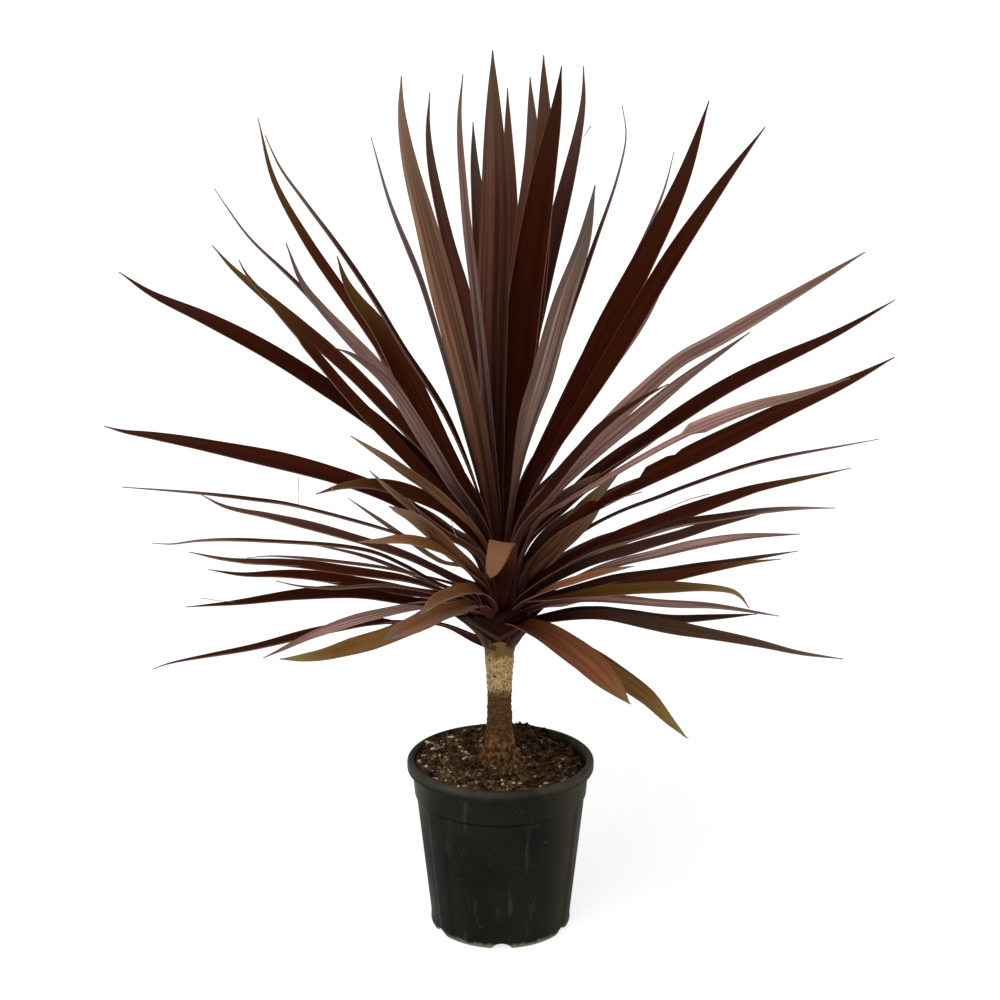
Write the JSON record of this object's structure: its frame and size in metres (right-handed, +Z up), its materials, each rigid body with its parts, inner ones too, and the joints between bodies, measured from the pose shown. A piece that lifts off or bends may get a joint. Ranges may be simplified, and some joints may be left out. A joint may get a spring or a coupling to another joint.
{
  "type": "potted cordyline plant",
  "caption": "Young cordyline with long narrow burgundy leaves fanning out from a short cane, in a round tapered plastic nursery pot filled with soil.",
  "frame": {"origin": "centre of the pot's flat underside", "axes": "+Z up along the pot's axis, -Y towards the viewer of the pictured side, +X to that viewer's right"},
  "size_m": [0.8268, 0.92, 0.8829],
  "materials": {
    "pot_plastic": "semi-matte black plastic, dusty",
    "soil": "damp bark and peat crumbs",
    "cane": "dry, ringed with leaf scars",
    "leaf_burgundy": "satin leaf skin, dark above and mauve below",
    "leaf_brown": "satin leaf skin, pinkish brown",
    "leaf_olive": "satin leaf skin, burgundy turning olive",
    "leaf_rust": "satin leaf skin, rust brown"
  },
  "bodies": {
    "root": {"pot": "pot_plastic", "soil": "soil", "stem": "cane", "crown_leaves": "leaf_burgundy", "skirt_leaves": "leaf_brown", "old_leaf_left": "leaf_olive", "old_leaf_hanging": "leaf_olive", "old_leaf_right": "leaf_rust"}
  },
  "joints": []
}
